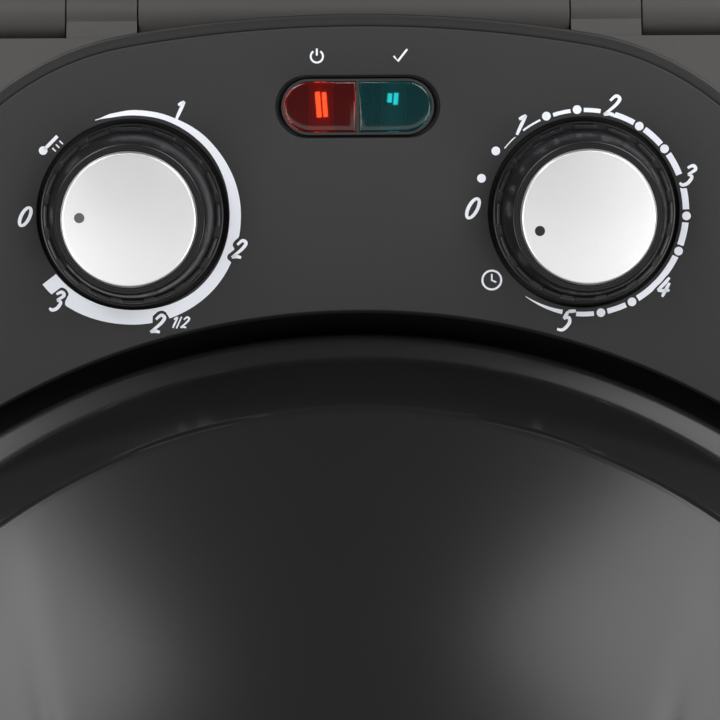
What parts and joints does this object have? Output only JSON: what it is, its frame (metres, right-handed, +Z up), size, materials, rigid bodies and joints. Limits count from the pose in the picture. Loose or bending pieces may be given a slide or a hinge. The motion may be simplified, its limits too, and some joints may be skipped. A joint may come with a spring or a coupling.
{
  "type": "electric pizza maker",
  "caption": "Round countertop pizza oven: baking stone in a heated base under a hinged, domed lid whose rear housing carries the temperature knob, timer knob and pilot lights.",
  "frame": {"origin": "centre of the bounding box in plan, at the surface that the feet stand on", "axes": "+X to the right of someone facing the front handle, +Y to the rear, where the hinge and the controls are, +Z up"},
  "size_m": [0.3392, 0.46, 0.1727],
  "materials": {
    "black_paint": "satin black stove enamel",
    "panel_plastic": "matte, fine moulded texture",
    "warm_grey_plastic": "satin, warm dark grey",
    "warm_grey_paint": "satin warm dark grey stove paint",
    "bakelite": "satin black moulding",
    "black_plastic": "matte black",
    "knob_plastic": "semi-gloss black",
    "silver_cap": "satin silver",
    "bright_sheet": "bright aluminised sheet",
    "zinc_sheet": "zinc-plated sheet",
    "zinc_screws": "zinc-plated",
    "tube_steel": "heat-darkened tube",
    "stone_clay": "pale fired clay",
    "ceramic_white": "unglazed off-white",
    "brass": "bare",
    "copper_tube": "bare copper",
    "timer_steel": "plated",
    "wire_sleeve": "glass-fibre sleeve, pale grey",
    "red_lens": "translucent red",
    "green_lens": "translucent blue-green",
    "red_glow": "glowing neon, orange",
    "green_glow": "glowing neon, blue-green"
  },
  "bodies": {
    "base": {"base_shell": "black_paint", "bottom_plate": "zinc_sheet", "bottom_screws": "zinc_screws", "feet": "black_plastic", "foot_screws": "zinc_screws", "base_liner": "bright_sheet", "stone": "stone_clay", "lower_element": "tube_steel", "lower_clips": "zinc_sheet", "lower_bushes": "ceramic_white", "base_grip": "bakelite", "grip_screws": "zinc_screws", "hinge_housing": "warm_grey_plastic", "hinge_pins": "zinc_screws", "pin_rings": "zinc_screws", "junction_cover": "black_plastic", "box_screws": "zinc_screws", "cable_gland": "black_plastic", "terminal_block": "ceramic_white", "thermal_fuse": "brass", "earth_tag": "brass", "lower_leads": "wire_sleeve"},
    "lid": {"lid_shell": "black_paint", "lid_liner": "bright_sheet", "liner_screws": "zinc_screws", "upper_element": "tube_steel", "upper_clips": "zinc_sheet", "upper_bushes": "ceramic_white", "lid_handle": "bakelite", "handle_screws": "zinc_screws", "rear_cover": "warm_grey_plastic", "hinge_arm_left": "warm_grey_paint", "hinge_arm_right": "warm_grey_paint", "arm_screws": "zinc_screws", "arm_nuts": "zinc_screws", "control_housing": "panel_plastic", "housing_screws": "zinc_screws", "thermostat_body": "ceramic_white", "thermostat_bulb": "copper_tube", "timer_body": "timer_steel", "timer_bell": "timer_steel", "control_nuts": "zinc_screws", "lamp_holder": "black_plastic", "red_lens": "red_lens", "green_lens": "green_lens", "red_lamp": "red_glow", "green_lamp": "green_glow", "lid_leads": "wire_sleeve"},
    "temp_control": {"temp_knob": "knob_plastic", "temp_knob_cap": "silver_cap", "temp_spindle": "brass"},
    "timer_control": {"timer_knob": "knob_plastic", "timer_knob_cap": "silver_cap", "timer_spindle": "brass"}
  },
  "joints": [
    {"name": "lid_hinge", "type": "hinge", "parent": "base", "child": "lid", "pos_m": [0, 0.219, 0.096], "axis": [-1, 0, 0], "range_deg": [0, 97]},
    {"name": "temp_knob_turn", "type": "hinge", "parent": "lid", "child": "temp_control", "pos_m": [-0.0502, 0.14752, 0.15283], "axis": [0, 0.4067, -0.9135], "range_deg": [0, 305]},
    {"name": "timer_knob_turn", "type": "hinge", "parent": "lid", "child": "timer_control", "pos_m": [0.0502, 0.14752, 0.15283], "axis": [0, 0.4067, -0.9135], "range_deg": [0, 297], "stiffness_Nm_per_rad": 0.004}
  ]
}
